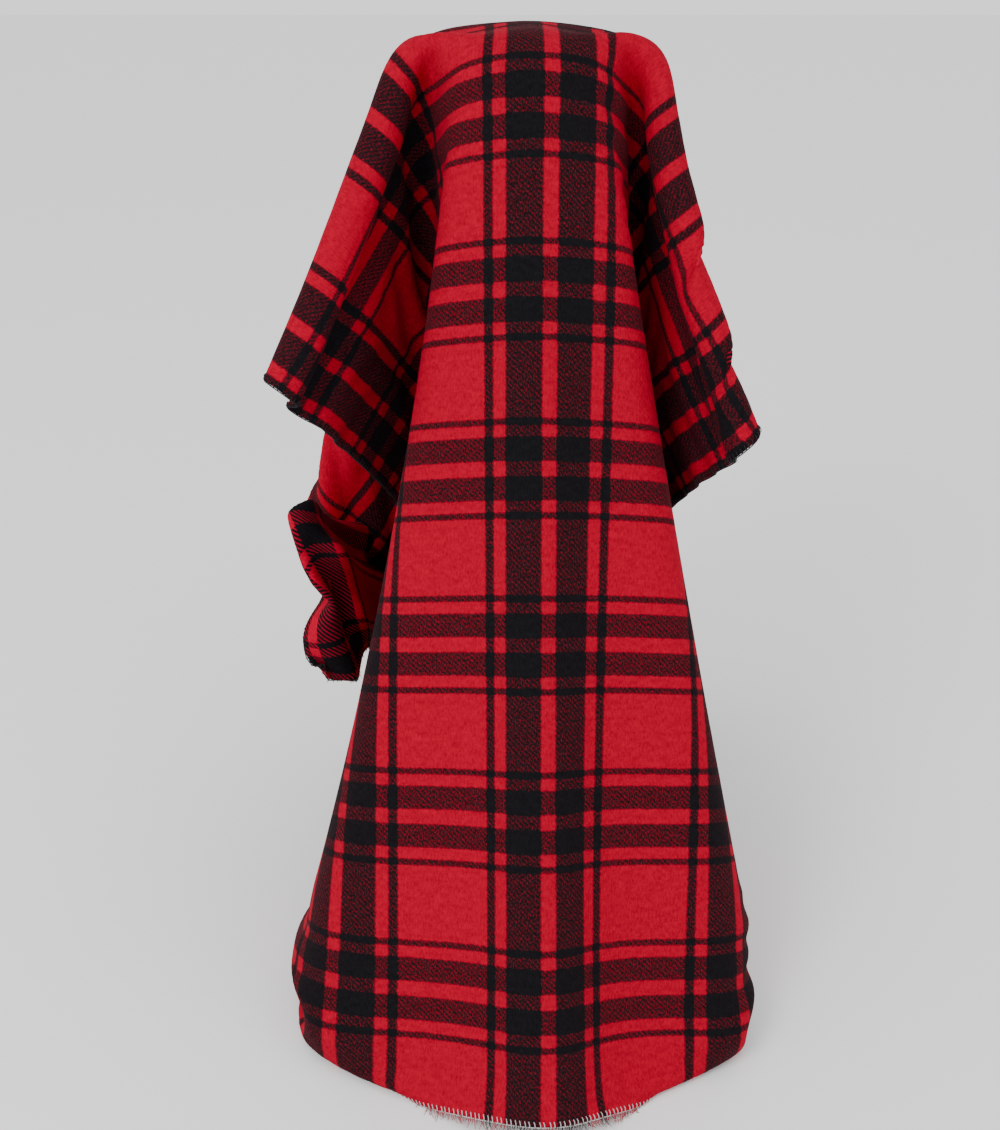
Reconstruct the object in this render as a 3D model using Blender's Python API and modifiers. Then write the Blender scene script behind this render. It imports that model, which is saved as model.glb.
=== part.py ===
"""Camp blanket: one tartan cloth draped over a small stand, which is not part of it.

Metres, +Z up, the front towards -Y. The origin is where the stand bears on the cloth: the
middle of the flat underside of the oval top. The cloth is drawn as a fan of fold lines:
each line starts on the rim of that top, runs down a ridge or a valley, and ends on the
cut edge. The front hem reaches the floor.
"""
import math

import bpy
import numpy as np

# The flat sheet, measured from the middle of the stand's top
LEFT_WIDTH = 0.364
RIGHT_WIDTH = 0.394
FRONT_LENGTH = 0.856
BACK_LENGTH = 0.718
CLOTH_THICKNESS = 0.0025

# The drape
TOP_LEVEL = 0.5 * CLOTH_THICKNESS
FLOOR_LEVEL = -0.745
HEM_LEVEL = FLOOR_LEVEL + 0.5 * CLOTH_THICKNESS
RIM_HALF_WIDTH = 0.078
RIM_HALF_DEPTH = 0.030
RIM_ROLL = 0.030
FLOOR_ROLL = 0.030

# The bound edges
THREAD_RADIUS = 0.0011
EDGE_GAP = 0.0031
SHARPEST_MITRE = 0.35
FLOOR_GAP = 0.0002
FRINGE_LENGTH = 0.008
FRINGE_THICKNESS = 0.0012

# The mesh
STRIP_STEPS = 5
LINE_STEPS = 22
PATH_STEPS = 240

# Sides of the sheet: the first and last fold line of each, in the list of fold lines below
SIDES = {"front_end": (18, 22), "right_edge": (2, 7), "back_end": (7, 12), "left_edge": (12, 18)}

# Mesh columns left bare at the start and end of a side: at corners and where the hem tucks under
SPARES = {"front_end": (7, 7), "right_edge": (6, 7), "back_end": (2, 2), "left_edge": (12, 6)}

# Fold lines, round the stand from the front to the right, the back and the left: rim
# angle, sheet point at the cut edge, heading and lean at the rim and at the edge, and the
# heading in which the hem runs on once it is down on the floor. Angles are in degrees: a
# heading of 0 is the front and 90 the right, and a lean of 0 is plumb.
FOLD_LINES = (
    (0, (0.0, FRONT_LENGTH), (0, 0), (14, 31), 0),
    (34, (0.205, FRONT_LENGTH), (28, 15), (13, 29), 185),
    (50, (RIGHT_WIDTH, FRONT_LENGTH), (50, 60), (-6, 20), 240),
    (64, (RIGHT_WIDTH, 0.42), (196, 200), (3, 9), 180),
    (78, (RIGHT_WIDTH, 0.100), (30, 28), (20, 32), 0),
    (98, (RIGHT_WIDTH, -0.17), (120, 170), (8, 4), 0),
    (118, (RIGHT_WIDTH, -0.43), (138, 165), (17, 14), 0),
    (136, (RIGHT_WIDTH, -BACK_LENGTH), (165, 190), (7, 5), 0),
    (154, (0.200, -BACK_LENGTH), (160, 170), (16, 15), 0),
    (180, (0.0, -BACK_LENGTH), (180, 180), (11, 10), 0),
    (206, (-0.150, -BACK_LENGTH), (200, 190), (14, 12), 0),
    (220, (-0.290, -BACK_LENGTH), (246, 246), (25, 0), 0),
    (234, (-LEFT_WIDTH, -BACK_LENGTH), (252, 252), (18, 9), 0),
    (247, (-LEFT_WIDTH, -0.42), (230, 200), (4, 8), 0),
    (258, (-LEFT_WIDTH, -0.20), (272, 272), (17, 17), 0),
    (270, (-LEFT_WIDTH, -0.06), (266, 262), (9, 8), 0),
    (282, (-LEFT_WIDTH, 0.090), (316, 322), (26, 36), 0),
    (296, (-LEFT_WIDTH, 0.42), (160, 145), (3, 8), 180),
    (310, (-LEFT_WIDTH, FRONT_LENGTH), (310, 300), (-6, 20), 120),
    (323, (-0.205, FRONT_LENGTH), (328, 338), (14, 28), 175),
)


def rim_sheet_point(angle):
    """Where the sheet meets the rim of the flat oval top, as right and front distances."""
    turn = math.radians(angle)
    return np.array((RIM_HALF_WIDTH * math.sin(turn), RIM_HALF_DEPTH * math.cos(turn)))


def compass(angle):
    """The level unit vector of a heading in degrees."""
    turn = math.radians(angle)
    return np.array((math.sin(turn), -math.cos(turn), 0.0))


def fold_direction(line, share, bent, height):
    """The way one fold line runs: over the rim, down the fold, and out along the floor."""
    angle, _, headings, leans, floor_heading = line
    heading = headings[0] + (headings[1] - headings[0]) * share
    heading = angle + (heading - angle) * bent
    lean = leans[0] + (leans[1] - leans[0]) * share
    drop = math.radians(90 - lean) * bent
    down = math.cos(drop) * compass(heading) - math.sin(drop) * np.array((0.0, 0.0, 1.0))
    landed = 1.0 - min(max((height - HEM_LEVEL) / FLOOR_ROLL, 0.0), 1.0)
    move = down * (1.0 - landed) + compass(floor_heading) * landed
    return move / np.linalg.norm(move)


def fold_curve(line, shares):
    """Points down one fold line, at shares of its length from the rim to the cut edge."""
    start = rim_sheet_point(line[0])
    length = math.hypot(line[1][0] - start[0], line[1][1] - start[1])
    step = max(shares[-1], 1.0) * length / PATH_STEPS
    place = np.array((start[0], -start[1], TOP_LEVEL))
    places = [place]
    for index in range(PATH_STEPS):
        run = (index + 0.5) * step
        bent = min(run / (RIM_ROLL * math.pi / 2), 1.0)
        place = place + step * fold_direction(line, run / length, bent, place[2])
        places.append(place)
    runs = np.arange(PATH_STEPS + 1) * step
    wanted = np.array(shares) * length
    return np.stack([np.interp(wanted, runs, np.array(places)[:, axis]) for axis in range(3)], axis=1)


def smooth_between(before, start, end, after, share):
    """Catmull-Rom blend of four neighbouring fold lines."""
    square = share * share
    cube = square * share
    return 0.5 * (2 * start + (end - before) * share
                  + (2 * before - 5 * start + 4 * end - after) * square
                  + (3 * start - before - 3 * end + after) * cube)


def drape_rings(shares):
    """Rings of points round the drape: one ring for each share of the fold lines."""
    curves = [fold_curve(line, shares) for line in FOLD_LINES]
    count = len(curves)
    columns = []
    for index in range(count):
        near = [curves[(index + offset) % count] for offset in (-1, 0, 1, 2)]
        for part in range(STRIP_STEPS):
            columns.append(smooth_between(*near, part / STRIP_STEPS))
    rings = np.array(columns).transpose(1, 0, 2)
    rings[:, :, 2] = np.maximum(rings[:, :, 2], HEM_LEVEL)
    return rings


def make_collection(name):
    """A new collection linked to the scene."""
    group = bpy.data.collections.new(name)
    bpy.context.scene.collection.children.link(group)
    return group


def make_material(name, colour, roughness):
    """A matt fibre material."""
    material = bpy.data.materials.new(name)
    material.use_nodes = True
    shader = material.node_tree.nodes["Principled BSDF"]
    shader.inputs["Base Color"].default_value = (*colour, 1.0)
    shader.inputs["Roughness"].default_value = roughness
    shader.inputs["Metallic"].default_value = 0.0
    return material


def add_mesh(name, points, faces, thickness, material, group):
    """A shell: an open surface given its thickness by Solidify."""
    mesh = bpy.data.meshes.new(name)
    mesh.from_pydata([tuple(point) for point in points], [], faces)
    mesh.materials.append(material)
    mesh.shade_smooth()
    thing = bpy.data.objects.new(name, mesh)
    group.objects.link(thing)
    shell = thing.modifiers.new("thickness", "SOLIDIFY")
    shell.thickness = thickness
    shell.offset = 0.0
    shell.use_even_offset = False
    return thing


def ring_faces(ring_count, column_count):
    """Quads between successive closed rings."""
    faces = []
    for ring in range(ring_count - 1):
        for column in range(column_count):
            following = (column + 1) % column_count
            low = ring * column_count
            high = low + column_count
            faces.append((low + column, high + column, high + following, low + following))
    return faces


def build_cloth(group):
    """The whole sheet: the small flat top and the fan of folds below it."""
    rings = drape_rings(np.linspace(0.0, 1.0, LINE_STEPS + 1))
    centre = np.array((0.0, 0.0, TOP_LEVEL))
    stack = np.concatenate([[(centre + rings[0]) / 2], rings])
    column_count = stack.shape[1]
    points = [centre, *stack.reshape(-1, 3)]
    faces = [tuple(index + 1 for index in face) for face in ring_faces(len(stack), column_count)]
    for column in range(column_count):
        faces.append((0, 1 + column, 1 + (column + 1) % column_count))
    material = make_material("red_black_wool", (0.42, 0.012, 0.03), 0.9)
    return add_mesh("woven_cloth", points, faces, CLOTH_THICKNESS, material, group)


def turned_off_floor(away, edge):
    """The outward directions, flattened where thread and fringe would run into the floor."""
    reach = 2 * EDGE_GAP + 2 * THREAD_RADIUS + FRINGE_LENGTH
    lowest = (FLOOR_LEVEL + THREAD_RADIUS + FLOOR_GAP - edge[:, 2]) / reach
    drop = np.clip(away[:, 2], np.clip(lowest, -1.0, 0.2), 1.0)
    flat = away[:, :2] / np.linalg.norm(away[:, :2], axis=1, keepdims=True)
    return np.column_stack([flat * np.sqrt(1.0 - drop * drop)[:, None], drop])


def side_rows(side, distances):
    """Rows of points beside one cut edge, at distances beyond it, out of the cloth."""
    inner, outer = drape_rings((1.0 - 1.0 / LINE_STEPS, 1.0))
    first, last = SIDES[side]
    columns = [index % len(outer) for index in range(first * STRIP_STEPS, last * STRIP_STEPS + 1)]
    edge = outer[columns]
    away = edge - inner[columns]
    along = np.gradient(edge, axis=0)
    along /= np.linalg.norm(along, axis=1, keepdims=True)
    away -= along * np.sum(away * along, axis=1, keepdims=True)
    away /= np.linalg.norm(away, axis=1, keepdims=True)
    steps = np.diff(edge, axis=0, append=2 * edge[-1:] - edge[-2:-1])
    steps /= np.linalg.norm(steps, axis=1, keepdims=True)
    away = turned_off_floor(away, edge)
    away /= np.clip(np.sum(steps * along, axis=1, keepdims=True), SHARPEST_MITRE, 1.0)
    return [edge + away * distance for distance in distances]


def build_overlock(side, material, group):
    """The thread bound along one cut edge, as one round cord."""
    route = side_rows(side, (EDGE_GAP + THREAD_RADIUS,))[0]
    begin, end = SPARES[side]
    route = route[begin:-end]
    curve = bpy.data.curves.new(side + "_overlock", "CURVE")
    curve.dimensions = "3D"
    curve.bevel_depth = THREAD_RADIUS
    curve.bevel_resolution = 2
    curve.use_fill_caps = True
    spline = curve.splines.new("POLY")
    spline.points.add(len(route) - 1)
    for point, place in zip(spline.points, route):
        point.co = (*place, 1.0)
    curve.materials.append(material)
    thing = bpy.data.objects.new(side + "_overlock", curve)
    group.objects.link(thing)


def build_fringe(side, material, group):
    """The short frayed warp ends past one bound end, as one ribbon with a ragged edge."""
    start = 2 * EDGE_GAP + 2 * THREAD_RADIUS
    near, short, far = side_rows(side, (start, start + 0.6 * FRINGE_LENGTH, start + FRINGE_LENGTH))
    begin, end = SPARES[side]
    near, short, far = near[begin:-end], short[begin:-end], far[begin:-end]
    ragged = [far[index] if index % 2 else short[index] for index in range(len(far))]
    count = len(near)
    faces = []
    for index in range(count - 1):
        faces.append((index, index + 1, count + index))
        faces.append((index + 1, count + index + 1, count + index))
    add_mesh(side + "_fringe", [*near, *ragged], faces, FRINGE_THICKNESS, material, group)


def main():
    """Empty the scene, then build every piece."""
    for thing in list(bpy.data.objects):
        bpy.data.objects.remove(thing, do_unlink=True)
    group = make_collection("camp_blanket")
    build_cloth(group)
    thread = make_material("dark_thread", (0.02, 0.018, 0.02), 0.8)
    fringe = make_material("wool_ends", (0.30, 0.010, 0.02), 0.9)
    for side in SIDES:
        build_overlock(side, thread, group)
    for side in ("front_end", "back_end"):
        build_fringe(side, fringe, group)


main()
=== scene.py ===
"""Camp blanket: the looks of one red and black tartan blanket draped over a hidden stand.

The blanket starts as a fan of fold lines, like the one that the CAD is drawn with but fitted
more closely. It is laid out again as an even grid along its threads, and is then relaxed until
the threads are near their flat lengths again, while the back left corner is drawn up into its
roll. The tartan is drawn in the flat sheet's own coordinates, in metres.
"""
import math

import bpy
import numpy as np
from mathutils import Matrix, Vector
from mathutils.bvhtree import BVHTree


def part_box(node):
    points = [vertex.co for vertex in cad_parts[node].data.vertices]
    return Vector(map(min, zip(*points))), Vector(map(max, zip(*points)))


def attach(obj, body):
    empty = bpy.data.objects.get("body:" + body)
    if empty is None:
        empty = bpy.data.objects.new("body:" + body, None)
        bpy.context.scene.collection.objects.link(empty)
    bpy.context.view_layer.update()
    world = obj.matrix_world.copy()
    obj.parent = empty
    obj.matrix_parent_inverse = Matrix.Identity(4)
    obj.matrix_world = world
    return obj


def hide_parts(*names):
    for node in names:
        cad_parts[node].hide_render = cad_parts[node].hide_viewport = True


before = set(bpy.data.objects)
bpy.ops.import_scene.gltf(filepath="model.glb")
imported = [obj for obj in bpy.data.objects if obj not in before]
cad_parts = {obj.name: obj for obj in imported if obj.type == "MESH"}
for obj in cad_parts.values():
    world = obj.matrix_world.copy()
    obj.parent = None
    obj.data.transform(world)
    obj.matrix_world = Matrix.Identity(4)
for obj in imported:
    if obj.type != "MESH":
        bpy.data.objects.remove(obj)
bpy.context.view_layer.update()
RNG = np.random.default_rng(7)

# The flat sheet, measured from the middle of the stand's top
LEFT_WIDTH = 0.364
RIGHT_WIDTH = 0.394
FRONT_LENGTH = 0.856
BACK_LENGTH = 0.718
THICKNESS = 0.0025

# The drape: an oval top, a little left of the frame's origin and lower towards its two ends
TOP_LEVEL = 0.5 * THICKNESS
FLOOR_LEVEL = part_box("woven_cloth")[0][2]
HEM_LEVEL = FLOOR_LEVEL + 0.5 * THICKNESS
RIM_HALF_WIDTH = 0.070
RIM_SHIFT = -0.004
DOME = 0.012
RIM_HALF_DEPTH = 0.030
RIM_ROLL = 0.030
FLOOR_ROLL = 0.030
PATH_STEPS = 240
STRIP_STEPS = 8
LINE_STEPS = 60

# Fold lines, round the stand from the front to the right, the back and the left: rim
# angle, sheet point at the cut edge, heading and lean at the rim and at the edge, and the
# heading in which the hem runs on once it is down on the floor. Angles are in degrees: a
# heading of 0 is the front and 90 the right, and a lean of 0 is plumb.
FOLD_LINES = (
    (0, (0.010, FRONT_LENGTH), (2, 2), (16, 34), 0),
    (14, (0.105, FRONT_LENGTH), (12, 10), (14, 29), 0),
    (34, (0.205, FRONT_LENGTH), (39, 16), (16, 30), 185),
    (44, (RIGHT_WIDTH, FRONT_LENGTH), (46, 56), (-3, 28), 240),
    (64, (RIGHT_WIDTH, 0.42), (196, 200), (3, 9), 180),
    (77, (RIGHT_WIDTH, 0.050), (26, 30), (20, 36), 0),
    (98, (RIGHT_WIDTH, -0.13), (130, 190), (5, 1), 0),
    (118, (RIGHT_WIDTH, -0.43), (140, 172), (14, 11), 0),
    (136, (RIGHT_WIDTH, -BACK_LENGTH), (165, 190), (7, 5), 0),
    (154, (0.200, -BACK_LENGTH), (160, 170), (16, 15), 0),
    (180, (0.0, -BACK_LENGTH), (180, 180), (11, 10), 0),
    (206, (-0.150, -BACK_LENGTH), (200, 190), (14, 12), 0),
    (220, (-0.290, -BACK_LENGTH), (246, 246), (25, 0), 0),
    (234, (-LEFT_WIDTH, -BACK_LENGTH), (252, 252), (18, 9), 0),
    (247, (-LEFT_WIDTH, -0.42), (230, 200), (4, 8), 0),
    (262, (-LEFT_WIDTH, -0.16), (256, 240), (6, 4), 0),
    (283, (-LEFT_WIDTH, 0.055), (316, 322), (25, 37), 0),
    (296, (-LEFT_WIDTH, 0.42), (160, 145), (3, 8), 180),
    (316, (-LEFT_WIDTH, FRONT_LENGTH), (306, 296), (-10, 34), 140),
    (323, (-0.205, FRONT_LENGTH), (324, 336), (15, 32), 175),
    (346, (-0.085, FRONT_LENGTH), (352, 350), (14, 30), 0),
)

# The roll and the hanging tip of the back left corner. The fan's hold on the sheet fades to
# nothing at the free corner. In its stead each of these pulls a part of the sheet: sheet point,
# place in the frame, and how far round the sheet point the pull reaches.
ANCHORS = (
    ((-0.364, -0.718), (-0.177, -0.092, -0.512), 0.014),
    ((-0.318, -0.718), (-0.152, -0.088, -0.525), 0.012),
    ((-0.312, -0.575), (-0.205, -0.104, -0.338), 0.014),
    ((-0.285, -0.560), (-0.184, -0.108, -0.330), 0.014),
    ((-0.272, -0.616), (-0.162, -0.092, -0.388), 0.014),
    ((-0.272, -0.679), (-0.148, -0.080, -0.466), 0.012),
    ((-0.335, -0.645), (-0.167, -0.096, -0.447), 0.012),
    ((-0.364, -0.600), (-0.178, -0.045, -0.415), 0.014),
)
ANCHOR_PULL = 0.6
FREE_CORNER = (-LEFT_WIDTH, -BACK_LENGTH)
FREE_REACH = 0.26

# The grid and its relaxing. In each round the cloth sags a little and the guide pulls it
# towards the fan, more weakly from round to round, down to its last share.
GRID_COLUMNS = 96
GRID_ROWS = 198
RELAX_ROUNDS = 600
GUIDE_PULL = 0.12
LAST_GUIDE = 0.15
TOP_PULL = 0.4
SAG = 0.00002

# Springs: step down and across the grid, and stiffness. The first two keep the threads'
# lengths, the next two the right angles between them, and the rest the cloth's stiffness.
SPRING_STEPS = (
    ((0, 1), 1.0),
    ((1, 0), 1.0),
    ((1, 1), 0.35),
    ((1, -1), 0.35),
    ((0, 2), 0.3),
    ((2, 0), 0.3),
    ((0, 5), 0.08),
    ((5, 0), 0.08),
)

# The tartan, in metres: the black stripes' near and far borders, on both sides of the middle of
# each repeat. The twill's ribs run at 45 degrees, so its pitch along the weft makes ribs that
# are 3 mm apart. The shares say how strongly the black of the warp and of the weft shows.
COLUMN_REPEAT = 0.1656
COLUMN_MIDDLE = 0.0148
COLUMN_WIDE = (0.0056, 0.0322)
COLUMN_THIN = (0.0419, 0.0485)
ROW_REPEAT = 0.1348
ROW_MIDDLE = 0.0915
ROW_WIDE = (0.0059, 0.0241)
ROW_THIN = (0.0333, 0.0381)
TWILL_PITCH = 0.0042
WARP_SHARE = 0.80
WEFT_SHARE = 0.72

# The wool's noises, in cycles for each metre of the sheet, and how its tones are mixed
WANDER_SCALES = (420.0, 380.0)
FIBRE_SCALE = 1100.0
MOTTLE_SCALE = 130.0
NAP_SCALE = 700.0
MOTTLE_TONE = 0.35
NAP_TONE = 0.65
DARK_TONE = 0.66
LIGHT_TONE = 1.2
GREY_TONE = 2.4
BUMP_SHARE = 0.8
SHEEN_TINT = (1.0, 0.2, 0.3, 1.0)

# Colours, linear
RED = (0.36, 0.0002, 0.017)
# The reverse red is lighter than the face red: painted light, standing in for the light on the
# turned-back flap that shows the reverse
REVERSE_RED_WITH_PAINTED_LIGHT = (0.42, 0.0006, 0.022)
BLACK = (0.0034, 0.0032, 0.0040)
PALE_THREAD = (0.45, 0.42, 0.42)
DARK_THREAD = (0.016, 0.013, 0.015)
FLOOR_PAPER = (0.9, 0.9, 0.9)

# Stitching and fringe
STITCH_PITCH = 0.0037
STITCH_REACH = 0.0036
THREAD_RADIUS = 0.00038
STITCH_SWING = 0.0003
STITCH_SIDES = 5
CHAIN_OUT = 0.0007
CHAIN_RADIUS = 1.3 * THREAD_RADIUS
CHAIN_SIDES = 6
FRINGE_PITCH = 0.0013
FRINGE_LENGTH = {"front_end": (0.005, 0.010), "back_end": (0.002, 0.004)}
FRINGE_RADIUS = 0.00030
FRINGE_ROOT = 0.001
FRINGE_BEND = 0.35
FRINGE_SCATTER = 0.0006
FRINGE_SHARES = (0.0, 0.3, 0.65, 1.0)
FRINGE_TAPER = (1.0, 1.0, 0.8, 0.45)
FRINGE_SIDES = 4

# One stitch's loop of thread: distance out from the cut edge, share of the lift off the
# cloth's middle, and shift along the edge
STITCH_LOOP = (
    (-STITCH_REACH, 0.85, -0.0009),
    (-0.5 * STITCH_REACH, 1.0, -0.0004),
    (0.0003, 0.7, 0.0),
    (0.0009, 0.0, 0.0002),
    (0.0003, -0.7, 0.0),
    (-0.5 * STITCH_REACH, -1.0, -0.0002),
    (-STITCH_REACH, -0.85, -0.0009),
)

# Studio: each light's name, place, target, size and power
LIGHTS = (
    ("key", (-1.2, -1.8, 1.3), (0.0, 0.0, -0.3), 1.0, 36.0),
    ("fill", (1.6, -1.3, 0.6), (0.0, 0.0, -0.4), 1.4, 5.0),
)
WORLD_STRENGTH = 1.3
FLOOR_HALF = 6.0

# Camera
CAMERA_PLACE = (-0.027, -1.20, 0.16)
CAMERA_TILT = 62.7
CAMERA_LENS = 47.8


# ---------------------------------------------------------------- the fan of fold lines

def rim_sheet_point(angle):
    """Where the sheet crosses the rim of the oval top, as right and front distances."""
    bearing = math.radians(angle)
    return np.array((RIM_HALF_WIDTH * math.sin(bearing), RIM_HALF_DEPTH * math.cos(bearing)))


def compass(angle):
    """The level unit vector of a heading in degrees."""
    bearing = math.radians(angle)
    return np.array((math.sin(bearing), -math.cos(bearing), 0.0))


def fold_direction(line, share, bent, height):
    """The way one fold line runs: over the rim, down the fold, and out along the floor."""
    angle, _, headings, leans, floor_heading = line
    heading = headings[0] + (headings[1] - headings[0]) * share
    heading = angle + (heading - angle) * bent
    lean = leans[0] + (leans[1] - leans[0]) * share
    drop = math.radians(90 - lean) * bent
    down = math.cos(drop) * compass(heading) - math.sin(drop) * np.array((0.0, 0.0, 1.0))
    landed = 1.0 - min(max((height - HEM_LEVEL) / FLOOR_ROLL, 0.0), 1.0)
    move = down * (1.0 - landed) + compass(floor_heading) * landed
    return move / np.linalg.norm(move)


def fold_curve(line, shares):
    """Points down one fold line, at shares of its length from the rim to the cut edge."""
    start = rim_sheet_point(line[0])
    length = math.hypot(line[1][0] - start[0], line[1][1] - start[1])
    step = length / PATH_STEPS
    dip = DOME * (start[0] / RIM_HALF_WIDTH) ** 2
    place = np.array((start[0] + RIM_SHIFT, -start[1], TOP_LEVEL - dip))
    places = [place]
    for index in range(PATH_STEPS):
        run = (index + 0.5) * step
        bent = min(run / (RIM_ROLL * math.pi / 2), 1.0)
        place = place + step * fold_direction(line, run / length, bent, place[2])
        places.append(place)
    runs = np.arange(PATH_STEPS + 1) * step
    wanted = np.array(shares) * length
    return np.stack([np.interp(wanted, runs, np.array(places)[:, axis]) for axis in range(3)], axis=1)


def smooth_between(before, start, end, after, share):
    """Catmull-Rom blend of four neighbouring fold lines."""
    square = share * share
    cube = square * share
    return 0.5 * (2 * start + (end - before) * share
                  + (2 * before - 5 * start + 4 * end - after) * square
                  + (3 * start - before - 3 * end + after) * cube)


def fan_rings(shares):
    """Rings of places round the drape and, beside them, their points on the flat sheet."""
    curves = [fold_curve(line, shares) for line in FOLD_LINES]
    flats = []
    for line in FOLD_LINES:
        start = rim_sheet_point(line[0])
        flats.append(start + np.outer(shares, np.array(line[1]) - start))
    count = len(curves)
    places, sheet = [], []
    for index in range(count):
        near = [curves[(index + offset) % count] for offset in (-1, 0, 1, 2)]
        following = flats[(index + 1) % count]
        for part in range(STRIP_STEPS):
            share = part / STRIP_STEPS
            places.append(smooth_between(*near, share))
            sheet.append(flats[index] * (1 - share) + following * share)
    rings = np.array(places).transpose(1, 0, 2)
    rings[:, :, 2] = np.maximum(rings[:, :, 2], HEM_LEVEL)
    return rings, np.array(sheet).transpose(1, 0, 2)


def fan_triangles():
    """The fan as triangles: places, flat points and vertex triples, the oval top included."""
    rings, sheet = fan_rings(np.linspace(0.0, 1.0, LINE_STEPS + 1))
    centre = np.array((RIM_SHIFT, 0.0, TOP_LEVEL))
    count = rings.shape[1]
    places = np.concatenate([[centre], rings.reshape(-1, 3)])
    flats = np.concatenate([[(0.0, 0.0)], sheet.reshape(-1, 2)])
    triples = [(0, 1 + column, 1 + (column + 1) % count) for column in range(count)]
    for ring in range(len(rings) - 1):
        for column in range(count):
            following = (column + 1) % count
            low = 1 + ring * count
            high = low + count
            triples.append((low + column, high + column, high + following))
            triples.append((low + column, high + following, low + following))
    return places, flats, triples


def grid_flat():
    """Flat points of the even grid, rows from the back end to the front end."""
    rights = np.linspace(-LEFT_WIDTH, RIGHT_WIDTH, GRID_COLUMNS)
    fronts = np.linspace(-BACK_LENGTH, FRONT_LENGTH, GRID_ROWS)
    return np.stack(np.meshgrid(rights, fronts), axis=-1)


def grid_on_fan(flat):
    """Where each flat grid point lies on the fan."""
    places, flats, triples = fan_triangles()
    tree = BVHTree.FromPolygons([(*point, 0.0) for point in flats], triples)
    out = np.zeros((*flat.shape[:2], 3))
    for row in range(flat.shape[0]):
        for column in range(flat.shape[1]):
            found, _, index, _ = tree.find_nearest((*flat[row, column], 0.0))
            out[row, column] = in_triangle(np.array(found)[:2], flats, places, triples[index])
    return out


def in_triangle(point, flats, places, triple):
    """The place on a triangle that matches a flat point on it."""
    first, second, third = (flats[corner] for corner in triple)
    edges = np.array((second - first, third - first)).T
    shares = np.linalg.lstsq(edges, point - first, rcond=None)[0]
    start, right, left = (places[corner] for corner in triple)
    return start + shares[0] * (right - start) + shares[1] * (left - start)


# ---------------------------------------------------------------- relaxing the grid

def spring_sets(flat):
    """Sets of springs that share no point: two index arrays, rest lengths and a stiffness."""
    index = np.arange(flat.shape[0] * flat.shape[1]).reshape(flat.shape[:2])
    points = flat.reshape(-1, 2)
    sets = []
    for (down, across), stiffness in SPRING_STEPS:
        width = index.shape[1]
        near = index[:index.shape[0] - down, max(-across, 0):width - max(across, 0)]
        far = index[down:, max(across, 0):width + min(across, 0)]
        reach = max(down, abs(across))
        axis = 0 if down else 1
        parity = (np.arange(near.shape[axis]) // reach) % 2
        for wanted in (0, 1):
            keep = parity == wanted
            start = near[keep] if axis == 0 else near[:, keep]
            end = far[keep] if axis == 0 else far[:, keep]
            start, end = start.ravel(), end.ravel()
            rest = np.linalg.norm(points[end] - points[start], axis=1)
            sets.append((start, end, rest, stiffness))
    return sets


def pull_springs(places, springs):
    """One pass over every spring set."""
    for start, end, rest, stiffness in springs:
        gap = places[end] - places[start]
        length = np.sqrt(np.sum(gap * gap, axis=1)) + 1e-9
        move = gap * (0.5 * stiffness * (1.0 - rest / length))[:, None]
        places[start] += move
        places[end] -= move


def relax(places, flat):
    """Bring the threads back to their flat lengths, with the folds held near the fan."""
    guide = places.reshape(-1, 3).copy()
    points = flat.reshape(-1, 2)
    springs = spring_sets(flat)
    on_top = (points[:, 0] / RIM_HALF_WIDTH) ** 2 + (points[:, 1] / RIM_HALF_DEPTH) ** 2 < 1.0
    free = np.exp(-(np.linalg.norm(points - FREE_CORNER, axis=1) / FREE_REACH) ** 2)
    pull = np.where(on_top, TOP_PULL, GUIDE_PULL * (1.0 - free))[:, None]
    anchors = []
    for spot, place, reach in ANCHORS:
        weight = np.exp(-(np.linalg.norm(points - spot, axis=1) / reach) ** 2)[:, None]
        anchors.append((weight, np.array(place)))
    moved = guide.copy()
    for done in range(RELAX_ROUNDS):
        hold = 1.0 - (1.0 - LAST_GUIDE) * done / RELAX_ROUNDS
        moved[:, 2] -= SAG
        moved += (guide - moved) * np.where(on_top[:, None], pull, pull * hold)
        for weight, place in anchors:
            moved += (place - moved) * weight * ANCHOR_PULL
        pull_springs(moved, springs)
        moved[:, 2] = np.maximum(moved[:, 2], HEM_LEVEL)
    return moved.reshape(places.shape)


# ---------------------------------------------------------------- materials

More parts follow.
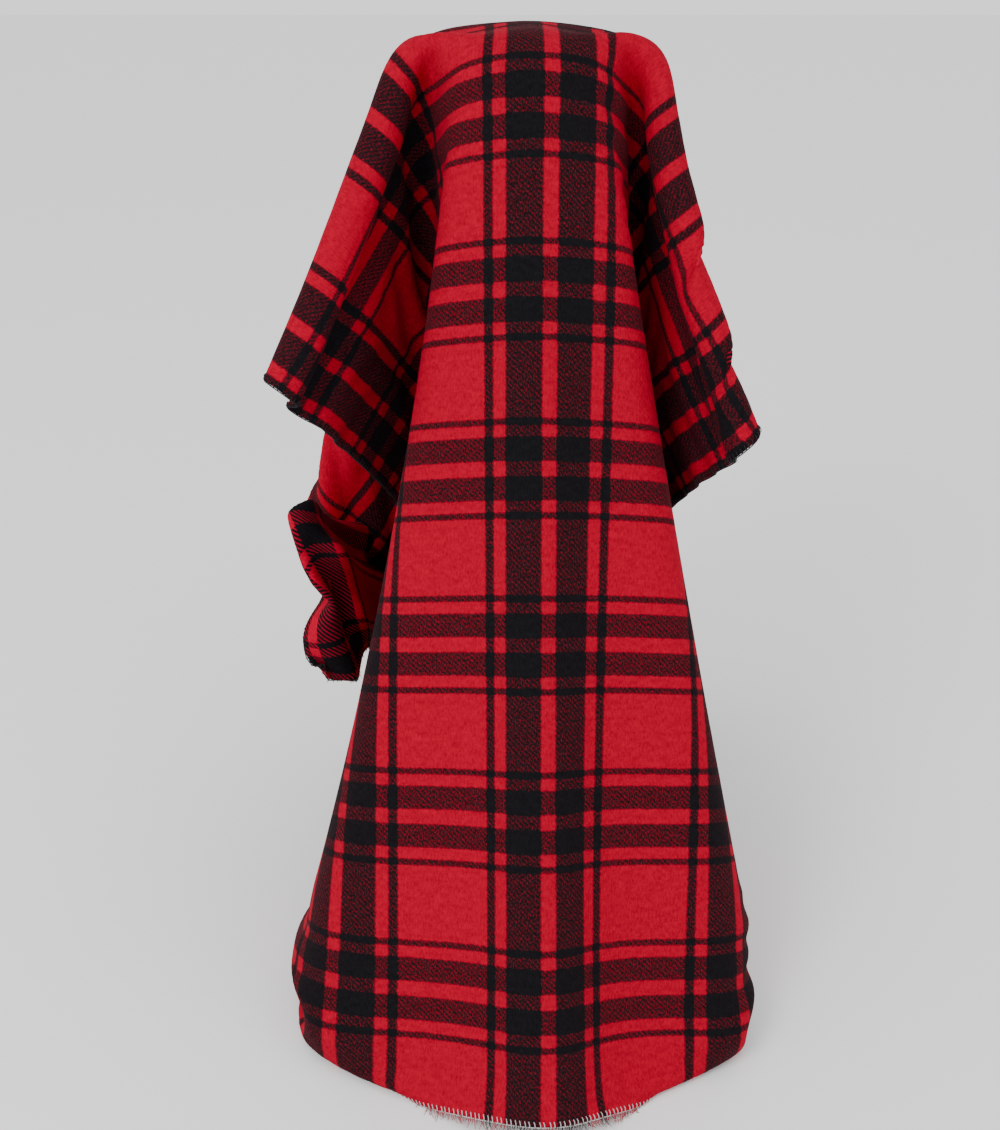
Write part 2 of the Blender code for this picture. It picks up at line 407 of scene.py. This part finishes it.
class Graph:
    """Short ways to add nodes to one material."""

    def __init__(self, name):
        self.material = bpy.data.materials.new(name)
        self.material.use_nodes = True
        self.nodes = self.material.node_tree.nodes
        self.links = self.material.node_tree.links
        self.shader = self.nodes["Principled BSDF"]

    def plug(self, socket, value):
        """Link a socket to an output, or set it to a number."""
        if isinstance(value, bpy.types.NodeSocket):
            self.links.new(value, socket)
        else:
            socket.default_value = value

    def math(self, operation, *values):
        """One Math node."""
        node = self.nodes.new("ShaderNodeMath")
        node.operation = operation
        for socket, value in zip(node.inputs, values):
            self.plug(socket, value)
        return node.outputs[0]

    def ramp(self, value, low, high, start=0.0, end=1.0):
        """A smooth step from start to end as value goes from low to high."""
        node = self.nodes.new("ShaderNodeMapRange")
        node.interpolation_type = "SMOOTHSTEP"
        for name, number in (("From Min", low), ("From Max", high), ("To Min", start), ("To Max", end)):
            node.inputs[name].default_value = number
        self.plug(node.inputs["Value"], value)
        return node.outputs["Result"]

    def noise(self, vector, scale, detail, roughness):
        """A noise texture's value, from 0 to 1."""
        node = self.nodes.new("ShaderNodeTexNoise")
        node.inputs["Scale"].default_value = scale
        node.inputs["Detail"].default_value = detail
        node.inputs["Roughness"].default_value = roughness
        self.plug(node.inputs["Vector"], vector)
        return node.outputs["Fac"]

    def stretched(self, vector, factors):
        """A vector multiplied part by part."""
        node = self.nodes.new("ShaderNodeVectorMath")
        node.operation = "MULTIPLY"
        self.plug(node.inputs[0], vector)
        node.inputs[1].default_value = factors
        return node.outputs[0]

    def mixed(self, factor, first, second):
        """A colour between two colours."""
        node = self.nodes.new("ShaderNodeMix")
        node.data_type = "RGBA"
        self.plug(node.inputs["Factor"], factor)
        self.plug(node.inputs[6], (*first, 1.0) if isinstance(first, tuple) else first)
        self.plug(node.inputs[7], (*second, 1.0) if isinstance(second, tuple) else second)
        return node.outputs[2]

    def sheet_point(self):
        """The flat sheet's own coordinates: the vector, and its right and front parts."""
        node = self.nodes.new("ShaderNodeUVMap")
        node.uv_map = "sheet"
        split = self.nodes.new("ShaderNodeSeparateXYZ")
        self.links.new(node.outputs[0], split.inputs[0])
        return node.outputs[0], split.outputs[0], split.outputs[1]


def stripe_mask(graph, place, middle, repeat, stripes, soft):
    """1 on the black stripes of one direction and 0 on the red."""
    centred = graph.math("SUBTRACT", place, middle)
    wrapped = graph.math("WRAP", centred, 0.5 * repeat, -0.5 * repeat)
    away = graph.math("ABSOLUTE", wrapped)
    total = 0.0
    for low, high in stripes:
        rise = graph.ramp(away, low - soft, low + soft)
        fall = graph.ramp(away, high - soft, high + soft, 1.0, 0.0)
        total = graph.math("ADD", total, graph.math("MULTIPLY", rise, fall))
    return total


def wandered(graph, place, vector, scale, amount):
    """A coordinate with a small random wander, for the ragged borders of woven stripes."""
    noise = graph.noise(vector, scale, 3.0, 0.6)
    shifted = graph.math("MULTIPLY", graph.math("SUBTRACT", noise, 0.5), 2 * amount)
    return graph.math("ADD", place, shifted)


def tartan_black(graph, wander, soft, twill_depth, fuzz, lean):
    """The sheet's point, how black the cloth is at it, and the height of its twill ribs."""
    vector, right, front = graph.sheet_point()
    ragged_right = wandered(graph, right, vector, WANDER_SCALES[0], wander)
    ragged_front = wandered(graph, front, vector, WANDER_SCALES[1], wander)
    columns = stripe_mask(graph, ragged_right, COLUMN_MIDDLE, COLUMN_REPEAT,
                          (COLUMN_WIDE, COLUMN_THIN), soft)
    rows = stripe_mask(graph, ragged_front, ROW_MIDDLE, ROW_REPEAT, (ROW_WIDE, ROW_THIN), soft)
    slope = graph.math("MULTIPLY", front, lean)
    phase = graph.math("MULTIPLY", graph.math("ADD", right, slope), 2 * math.pi / TWILL_PITCH)
    wave = graph.math("MULTIPLY", graph.math("SINE", phase), twill_depth)
    fibres = graph.noise(graph.stretched(vector, (1.0, 0.45, 1.0)), FIBRE_SCALE, 2.0, 0.7)
    speckle = graph.math("MULTIPLY", graph.math("SUBTRACT", fibres, 0.5), fuzz)
    shown = graph.math("ADD", wave, speckle)
    warp = graph.ramp(graph.math("ADD", shown, WARP_SHARE), 0.1, 0.9)
    weft = graph.ramp(graph.math("SUBTRACT", WEFT_SHARE, shown), 0.1, 0.9)
    total = graph.math("ADD", graph.math("MULTIPLY", columns, warp),
                       graph.math("MULTIPLY", rows, weft))
    black = graph.math("MINIMUM", total, 1.0)
    return vector, black, wave


def wool_material(name, red, twill_depth, fuzz, wander, soft, lean, sheen, bump):
    """Tartan wool: napped on the face, plain twill on the reverse."""
    graph = Graph(name)
    vector, black, wave = tartan_black(graph, wander, soft, twill_depth, fuzz, lean)
    mottle = graph.noise(graph.stretched(vector, (1.0, 1.6, 1.0)), MOTTLE_SCALE, 4.0, 0.65)
    nap = graph.noise(graph.stretched(vector, (1.0, 0.35, 1.0)), NAP_SCALE, 3.0, 0.7)
    tone = graph.math("ADD", graph.ramp(mottle, 0.3, 0.7, 0.0, MOTTLE_TONE),
                      graph.ramp(nap, 0.25, 0.75, 0.0, NAP_TONE))
    dark_red = tuple(DARK_TONE * part for part in red)
    light_red = tuple(LIGHT_TONE * part for part in red)
    red_tone = graph.mixed(tone, dark_red, light_red)
    black_tone = graph.mixed(tone, BLACK, tuple(GREY_TONE * part for part in BLACK))
    graph.plug(graph.shader.inputs["Base Color"], graph.mixed(black, red_tone, black_tone))
    graph.shader.inputs["Roughness"].default_value = 0.92
    graph.shader.inputs["Specular IOR Level"].default_value = 0.04
    graph.shader.inputs["Sheen Weight"].default_value = sheen
    graph.shader.inputs["Sheen Roughness"].default_value = 0.45
    graph.shader.inputs["Sheen Tint"].default_value = SHEEN_TINT
    fibres = graph.math("ADD", nap, graph.math("MULTIPLY", mottle, BUMP_SHARE))
    height = graph.math("ADD", fibres, graph.math("MULTIPLY", wave, BUMP_SHARE))
    node = graph.nodes.new("ShaderNodeBump")
    node.inputs["Strength"].default_value = 1.0
    node.inputs["Distance"].default_value = bump
    graph.plug(node.inputs["Height"], height)
    graph.plug(graph.shader.inputs["Normal"], node.outputs["Normal"])
    return graph.material


def plain_material(name, colour, roughness):
    """A single-colour matt material."""
    graph = Graph(name)
    graph.shader.inputs["Base Color"].default_value = (*colour, 1.0)
    graph.shader.inputs["Roughness"].default_value = roughness
    graph.shader.inputs["Specular IOR Level"].default_value = 0.2
    return graph.material


def fringe_material():
    """Loose warp ends, each in the colour of its own column."""
    graph = Graph("loose_warp_ends")
    _, right, _ = graph.sheet_point()
    columns = stripe_mask(graph, right, COLUMN_MIDDLE, COLUMN_REPEAT,
                          (COLUMN_WIDE, COLUMN_THIN), 0.0004)
    graph.plug(graph.shader.inputs["Base Color"], graph.mixed(columns, RED, BLACK))
    graph.shader.inputs["Roughness"].default_value = 0.9
    graph.shader.inputs["Sheen Weight"].default_value = 0.2
    return graph.material


# ---------------------------------------------------------------- meshes

def new_object(name, points, faces, materials, uvs=None):
    """A mesh object; uvs hold the flat sheet point of each vertex."""
    mesh = bpy.data.meshes.new(name)
    mesh.from_pydata(np.asarray(points).tolist(), [], faces)
    for material in materials:
        mesh.materials.append(material)
    if uvs is not None:
        layer = mesh.uv_layers.new(name="sheet")
        corners = np.zeros(len(mesh.loops), dtype=np.int32)
        mesh.loops.foreach_get("vertex_index", corners)
        layer.data.foreach_set("uv", np.asarray(uvs, dtype=np.float32)[corners].ravel())
    mesh.shade_smooth()
    thing = bpy.data.objects.new(name, mesh)
    bpy.context.scene.collection.objects.link(thing)
    return thing


def build_cloth(places, flat, face, reverse):
    """The blanket itself, with its napped face outside and its plain twill inside."""
    rows, columns = flat.shape[:2]
    faces = []
    for row in range(rows - 1):
        for column in range(columns - 1):
            back = row * columns + column
            front = back + columns
            faces.append((front, front + 1, back + 1, back))
    thing = new_object("blanket", places.reshape(-1, 3), faces, (face, reverse),
                       flat.reshape(-1, 2))
    smooth = thing.modifiers.new("smooth", "SUBSURF")
    smooth.levels = smooth.render_levels = 1
    shell = thing.modifiers.new("thickness", "SOLIDIFY")
    shell.thickness = THICKNESS
    shell.offset = 0.0
    shell.use_even_offset = False
    shell.material_offset = 1
    return thing


def edge_route(places, flat, side):
    """One cut edge, as places, outward directions, cloth normals and flat points."""
    views = {"front_end": (places[-1], places[-2], flat[-1]),
             "back_end": (places[0], places[1], flat[0]),
             "left_edge": (places[:, 0], places[:, 1], flat[:, 0]),
             "right_edge": (places[:, -1], places[:, -2], flat[:, -1])}
    edge, inner, sheet = views[side]
    out = edge - inner
    out /= np.linalg.norm(out, axis=1, keepdims=True)
    along = np.gradient(edge, axis=0)
    up = np.cross(along, out)
    up /= np.linalg.norm(up, axis=1, keepdims=True)
    return edge, out, up, sheet


def sampled(route, pitch):
    """A route again, at an even pitch along the edge."""
    edge = route[0]
    runs = np.concatenate([[0.0], np.cumsum(np.linalg.norm(np.diff(edge, axis=0), axis=1))])
    wanted = np.arange(0.5 * pitch, runs[-1], pitch)
    return [np.stack([np.interp(wanted, runs, part[:, axis]) for axis in range(part.shape[1])], axis=1)
            for part in route]


def tube_rings(path, radii, sides):
    """Rings of points round a path, one ring for each path point."""
    along = np.gradient(path, axis=0)
    along /= np.linalg.norm(along, axis=1, keepdims=True) + 1e-12
    helper = np.array((0.31, 0.43, 0.85))
    first = np.cross(along, helper)
    first /= np.linalg.norm(first, axis=1, keepdims=True) + 1e-12
    second = np.cross(along, first)
    turns = np.arange(sides) * 2 * math.pi / sides
    spokes = (first[:, None] * np.cos(turns)[None, :, None]
              + second[:, None] * np.sin(turns)[None, :, None])
    return path[:, None] + spokes * np.asarray(radii)[:, None, None]


def tubes(paths, radii, sides, sheets=None):
    """Many closed tubes in one mesh: points, faces and flat points."""
    points, faces, uvs = [], [], []
    for number, path in enumerate(paths):
        base = sum(len(block) for block in points)
        rings = tube_rings(np.asarray(path), radii, sides)
        points.append(rings.reshape(-1, 3))
        count = len(path)
        for ring in range(count - 1):
            for side in range(sides):
                low = base + ring * sides
                following = (side + 1) % sides
                high = low + sides
                faces.append((low + side, low + following, high + following, high + side))
        faces.append(tuple(base + side for side in reversed(range(sides))))
        faces.append(tuple(base + (count - 1) * sides + side for side in range(sides)))
        if sheets is not None:
            uvs.append(np.repeat(sheets[number][None], count * sides, axis=0))
    return np.concatenate(points), faces, np.concatenate(uvs) if uvs else None


def build_overlock(side, places, flat, material):
    """The overlock binding on one cut edge: a small loop for each stitch, and a chain."""
    edge, out, up, _ = sampled(edge_route(places, flat, side), STITCH_PITCH)
    along = np.gradient(edge, axis=0)
    along /= np.linalg.norm(along, axis=1, keepdims=True)
    lift = 0.5 * THICKNESS + 0.6 * THREAD_RADIUS
    paths = []
    for spot in range(len(edge)):
        swing = STITCH_SWING * RNG.standard_normal()
        path = []
        for reach, share, shift in STITCH_LOOP:
            place = edge[spot] + out[spot] * reach + up[spot] * (share * lift)
            path.append(place + along[spot] * (shift + swing))
        paths.append(path)
    chain = edge + out * CHAIN_OUT
    points, faces, _ = tubes(paths, [THREAD_RADIUS] * len(STITCH_LOOP), STITCH_SIDES)
    chain_points, chain_faces, _ = tubes([chain], [CHAIN_RADIUS] * len(chain), CHAIN_SIDES)
    first_corner = len(points)
    faces += [tuple(first_corner + corner for corner in face) for face in chain_faces]
    points = np.concatenate([points, chain_points])
    return new_object(side + "_stitches", points, faces, (material,))


def build_fringe(side, places, flat, material):
    """The frayed warp ends past one end of the sheet."""
    edge, out, up, sheet = sampled(edge_route(places, flat, side), FRINGE_PITCH)
    along = np.gradient(edge, axis=0)
    along /= np.linalg.norm(along, axis=1, keepdims=True)
    paths = []
    for spot in range(len(edge)):
        length = RNG.uniform(*FRINGE_LENGTH[side])
        sway = FRINGE_BEND * RNG.standard_normal()
        curl = FRINGE_BEND * RNG.standard_normal()
        lie = FRINGE_SCATTER * RNG.standard_normal()
        path = []
        for share in FRINGE_SHARES:
            bend = share * share * length
            place = edge[spot] + out[spot] * (share * length - FRINGE_ROOT)
            place = place + along[spot] * sway * bend
            place = place + up[spot] * (curl * bend + lie)
            place[2] = max(place[2], FLOOR_LEVEL + FRINGE_RADIUS)
            path.append(place)
        paths.append(path)
    radii = np.array(FRINGE_TAPER) * FRINGE_RADIUS
    points, faces, uvs = tubes(paths, radii, FRINGE_SIDES, sheet)
    return new_object(side + "_loose_ends", points, faces, (material,), uvs)


# ---------------------------------------------------------------- studio

def add_floor():
    """A plain pale floor, level with the lowest point of the hem."""
    mesh = bpy.data.meshes.new("floor")
    corners = [(-FLOOR_HALF, -FLOOR_HALF, FLOOR_LEVEL), (FLOOR_HALF, -FLOOR_HALF, FLOOR_LEVEL),
               (FLOOR_HALF, FLOOR_HALF, FLOOR_LEVEL), (-FLOOR_HALF, FLOOR_HALF, FLOOR_LEVEL)]
    mesh.from_pydata(corners, [], [(0, 1, 2, 3)])
    mesh.materials.append(plain_material("floor_paper", FLOOR_PAPER, 0.8))
    floor = bpy.data.objects.new("floor", mesh)
    bpy.context.scene.collection.objects.link(floor)


def add_area(name, place, target, size, power):
    """A soft square light that points at a target."""
    light = bpy.data.lights.new(name, "AREA")
    light.size = size
    light.energy = power
    thing = bpy.data.objects.new(name, light)
    thing.location = place
    thing.rotation_euler = (Vector(target) - Vector(place)).to_track_quat("-Z", "Y").to_euler()
    bpy.context.scene.collection.objects.link(thing)


def add_studio():
    """White surroundings and two soft lights, the stronger one from above the camera's left."""
    world = bpy.data.worlds.new("studio")
    world.use_nodes = True
    background = world.node_tree.nodes["Background"]
    background.inputs["Color"].default_value = (1.0, 1.0, 1.0, 1.0)
    background.inputs["Strength"].default_value = WORLD_STRENGTH
    bpy.context.scene.world = world
    for light in LIGHTS:
        add_area(*light)


def add_camera():
    """The camera, in front of the blanket and a little above its top, looking down at it."""
    camera = bpy.data.cameras.new("camera")
    camera.lens = CAMERA_LENS
    thing = bpy.data.objects.new("camera", camera)
    thing.location = CAMERA_PLACE
    thing.rotation_euler = (math.radians(CAMERA_TILT), 0.0, 0.0)
    bpy.context.scene.collection.objects.link(thing)
    bpy.context.scene.camera = thing


def main():
    """Build every piece, tie each to the frame and set up the studio."""
    flat = grid_flat()
    places = relax(grid_on_fan(flat), flat)
    face = wool_material("wool_face", RED, twill_depth=0.07, fuzz=1.5, wander=0.0015,
                         soft=0.0009, lean=-1.0, sheen=0.03, bump=0.0008)
    # The reverse gets the lighter red: painted light on the turned-back flap, which lies in shade
    reverse = wool_material("wool_reverse_painted_light", REVERSE_RED_WITH_PAINTED_LIGHT, twill_depth=0.42, fuzz=0.25,
                            wander=0.0004, soft=0.0004, lean=1.0, sheen=0.02, bump=0.0004)
    cloth = build_cloth(places, flat, face, reverse)
    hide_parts("woven_cloth")
    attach(cloth, "root")
    dark = plain_material("dark_thread", DARK_THREAD, 0.85)
    pale = plain_material("pale_thread", PALE_THREAD, 0.8)
    for side in ("front_end", "right_edge", "back_end", "left_edge"):
        stitches = build_overlock(side, places, flat, pale if side == "front_end" else dark)
        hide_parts(side + "_overlock")
        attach(stitches, "root")
    ends = fringe_material()
    for side in ("front_end", "back_end"):
        loose = build_fringe(side, places, flat, ends)
        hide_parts(side + "_fringe")
        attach(loose, "root")
    add_floor()
    add_studio()
    add_camera()


main()
